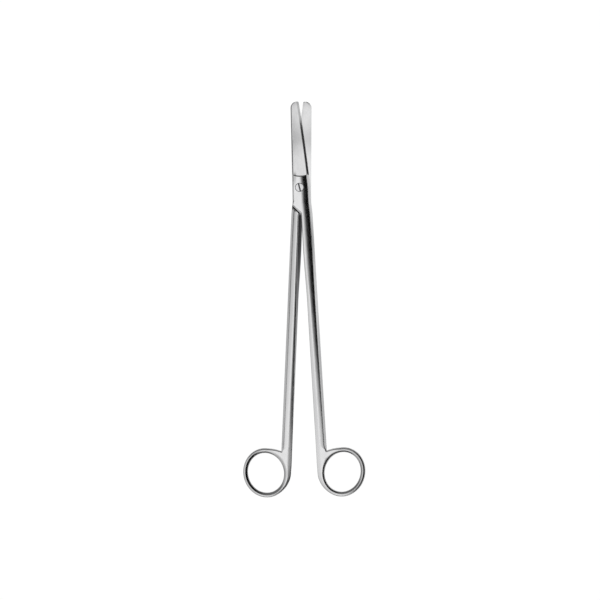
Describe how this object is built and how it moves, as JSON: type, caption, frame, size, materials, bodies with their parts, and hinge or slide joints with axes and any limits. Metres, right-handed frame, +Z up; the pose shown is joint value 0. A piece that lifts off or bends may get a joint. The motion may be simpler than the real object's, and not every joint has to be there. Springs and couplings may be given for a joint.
{
  "type": "dissecting scissors",
  "caption": "Long curved dissecting scissors: slim steel shanks with oval finger rings, short upturned blades and a slotted joint screw.",
  "frame": {"origin": "centre of the joint's flat underside, on the pivot's axis", "axes": "+Z up along the pivot's axis, out of the joint screw's slotted head; +Y from the pivot to the blade tips; +X to the right of the closed scissors seen from above. The scissors lie as in the picture, 5.1 degrees open."},
  "size_m": [0.0806, 0.2606, 0.0141],
  "materials": {
    "satin_steel": "satin",
    "screw_steel": "satin, a little finer than the halves"
  },
  "bodies": {
    "back_body": {"back_half": "satin_steel", "joint_screw": "screw_steel"},
    "front_body": {"front_half": "satin_steel"}
  },
  "joints": [
    {"name": "joint_pivot", "type": "hinge", "parent": "back_body", "child": "front_body", "pos_m": [0, 0, 0], "axis": [0, 0, 1], "range_deg": [-4.9, 55]}
  ]
}
